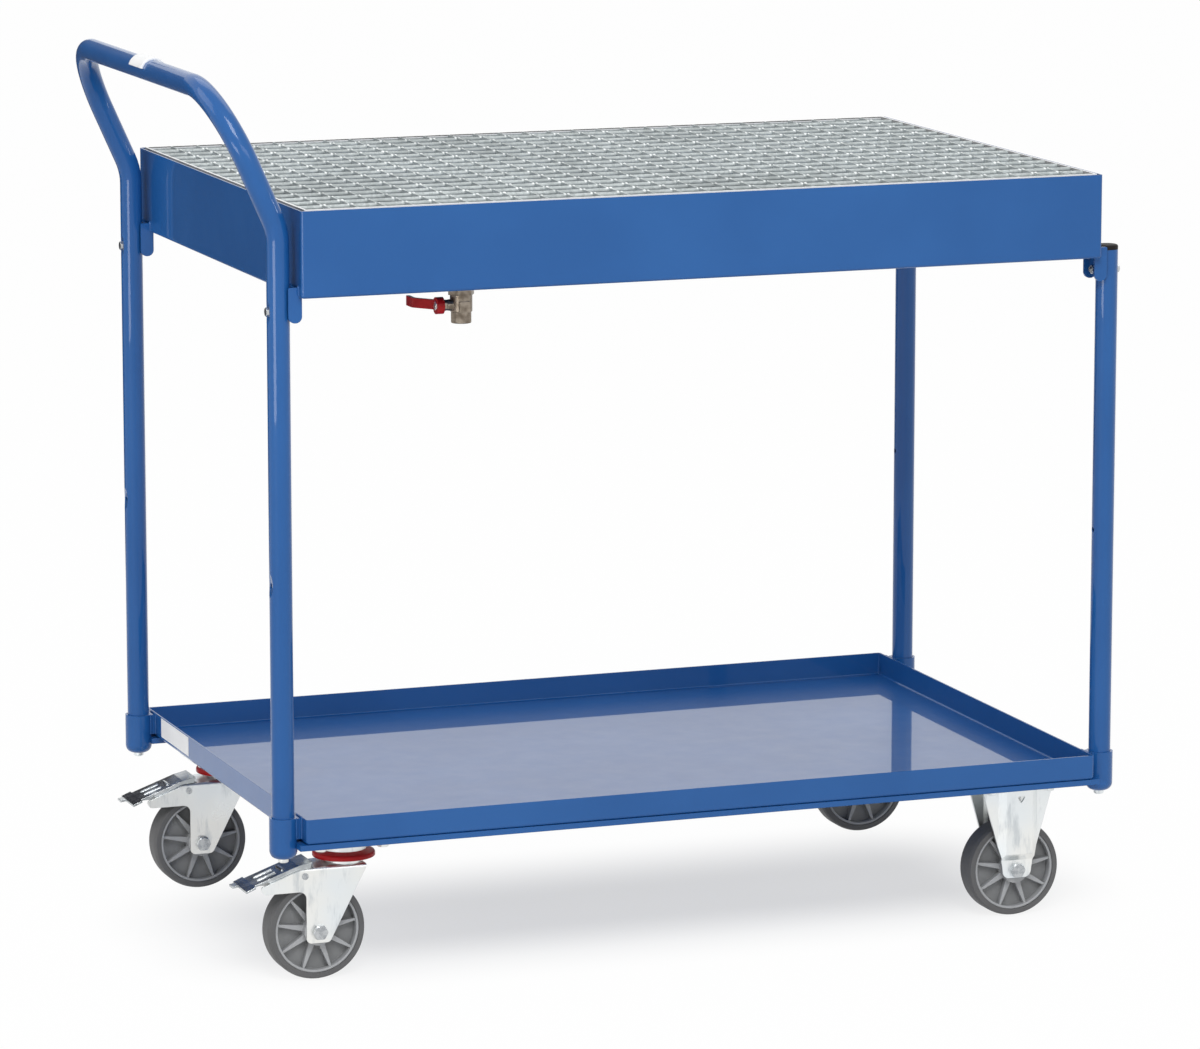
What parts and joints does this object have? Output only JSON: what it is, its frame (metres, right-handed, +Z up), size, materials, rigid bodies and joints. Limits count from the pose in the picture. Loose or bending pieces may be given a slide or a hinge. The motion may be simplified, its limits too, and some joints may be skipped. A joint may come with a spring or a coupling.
{
  "type": "shelf trolley",
  "caption": "Two-level tube-frame trolley with a deep drip tray under a lift-out grating, a drain valve, a shallow lower shelf, a bent push handle and braked swivel casters.",
  "frame": {"origin": "on the floor, under the middle of the whole trolley's outline", "axes": "+X along the trays away from the handle, -Y the front long side, +Z up"},
  "size_m": [1.1992, 0.7, 1.124],
  "materials": {
    "blue_paint": "glossy powder coat",
    "galvanised_steel": "hot-dip galvanised, spangled",
    "zinc_plate": "bright zinc plated pressing",
    "bearing_steel": "ground",
    "valve_metal": "nickel plated brass",
    "chromed_ball": "polished",
    "seat_plastic": "plain",
    "red_plastic": "moulded",
    "black_plastic": "moulded",
    "white_label": "blank",
    "wheel_plastic": "moulded, silver grey",
    "grey_rubber": "solid elastic rubber"
  },
  "bodies": {
    "frame": {"lower_tray": "blue_paint", "back_rail": "blue_paint", "front_rail": "blue_paint", "handle_end_channel": "blue_paint", "far_end_channel": "blue_paint", "corner_sockets": "blue_paint", "socket_screws": "zinc_plate", "push_handle": "blue_paint", "far_front_post": "blue_paint", "far_back_post": "blue_paint", "post_caps": "black_plastic", "handle_label": "white_label", "tray_label": "white_label", "upper_tray": "blue_paint", "tray_brackets": "blue_paint", "bracket_bolts": "zinc_plate", "bracket_nuts": "zinc_plate", "grating_ledges": "blue_paint", "valve_nipple": "valve_metal", "valve_locknut": "valve_metal", "valve_body": "valve_metal", "valve_end_piece": "valve_metal", "valve_seats": "seat_plastic", "valve_gland_nut": "valve_metal", "front_swivel_plate": "zinc_plate", "back_swivel_plate": "zinc_plate", "swivel_bearing_balls": "bearing_steel", "swivel_kingpins": "zinc_plate", "swivel_seals": "red_plastic", "front_fixed_fork": "zinc_plate", "back_fixed_fork": "zinc_plate", "fixed_axle_bolts": "zinc_plate", "fixed_axle_sleeves": "zinc_plate", "caster_plate_bolts": "zinc_plate"},
    "grating": {"grating_frame": "galvanised_steel", "grating_bearing_bars": "galvanised_steel", "grating_cross_bars": "galvanised_steel"},
    "drain_lever": {"valve_lever": "red_plastic", "valve_lever_nut": "zinc_plate", "valve_stem": "bearing_steel", "valve_ball": "chromed_ball"},
    "front_swivel": {"front_swivel_fork": "zinc_plate", "front_brake_pin": "zinc_plate", "front_swivel_axle": "zinc_plate", "front_swivel_sleeve": "zinc_plate"},
    "front_pedal": {"front_brake_pedal": "zinc_plate"},
    "front_swivel_wheel": {"front_swivel_wheel_core": "wheel_plastic", "front_swivel_tyre": "grey_rubber"},
    "front_fixed_wheel": {"front_fixed_wheel_core": "wheel_plastic", "front_fixed_tyre": "grey_rubber"},
    "back_swivel": {"back_swivel_fork": "zinc_plate", "back_brake_pin": "zinc_plate", "back_swivel_axle": "zinc_plate", "back_swivel_sleeve": "zinc_plate"},
    "back_pedal": {"back_brake_pedal": "zinc_plate"},
    "back_swivel_wheel": {"back_swivel_wheel_core": "wheel_plastic", "back_swivel_tyre": "grey_rubber"},
    "back_fixed_wheel": {"back_fixed_wheel_core": "wheel_plastic", "back_fixed_tyre": "grey_rubber"}
  },
  "joints": [
    {"name": "grating_lift", "type": "slide", "parent": "frame", "child": "grating", "axis": [0, 0, 1], "range_m": [0, 0.12]},
    {"name": "drain_valve", "type": "hinge", "parent": "frame", "child": "drain_lever", "pos_m": [-0.25315, -0.25, 0.8285], "axis": [-1, 0, 0], "range_deg": [0, 90]},
    {"name": "front_swivel", "type": "hinge", "parent": "frame", "child": "front_swivel", "pos_m": [-0.41015, -0.252, 0.1455], "axis": [0, 0, 1], "continuous": true},
    {"name": "front_brake", "type": "hinge", "parent": "front_swivel", "child": "front_pedal", "pos_m": [-0.46815, -0.252, 0.134], "axis": [0, -1, 0], "range_deg": [0, 9]},
    {"name": "front_swivel_wheel", "type": "hinge", "parent": "front_swivel", "child": "front_swivel_wheel", "pos_m": [-0.45015, -0.252, 0.0625], "axis": [0, 1, 0], "continuous": true},
    {"name": "front_fixed_wheel", "type": "hinge", "parent": "frame", "child": "front_fixed_wheel", "pos_m": [0.48835, -0.252, 0.0625], "axis": [0, 1, 0], "continuous": true},
    {"name": "back_swivel", "type": "hinge", "parent": "frame", "child": "back_swivel", "pos_m": [-0.41015, 0.252, 0.1455], "axis": [0, 0, 1], "continuous": true},
    {"name": "back_brake", "type": "hinge", "parent": "back_swivel", "child": "back_pedal", "pos_m": [-0.46815, 0.252, 0.134], "axis": [0, -1, 0], "range_deg": [0, 9]},
    {"name": "back_swivel_wheel", "type": "hinge", "parent": "back_swivel", "child": "back_swivel_wheel", "pos_m": [-0.45015, 0.252, 0.0625], "axis": [0, 1, 0], "continuous": true},
    {"name": "back_fixed_wheel", "type": "hinge", "parent": "frame", "child": "back_fixed_wheel", "pos_m": [0.48835, 0.252, 0.0625], "axis": [0, 1, 0], "continuous": true}
  ]
}
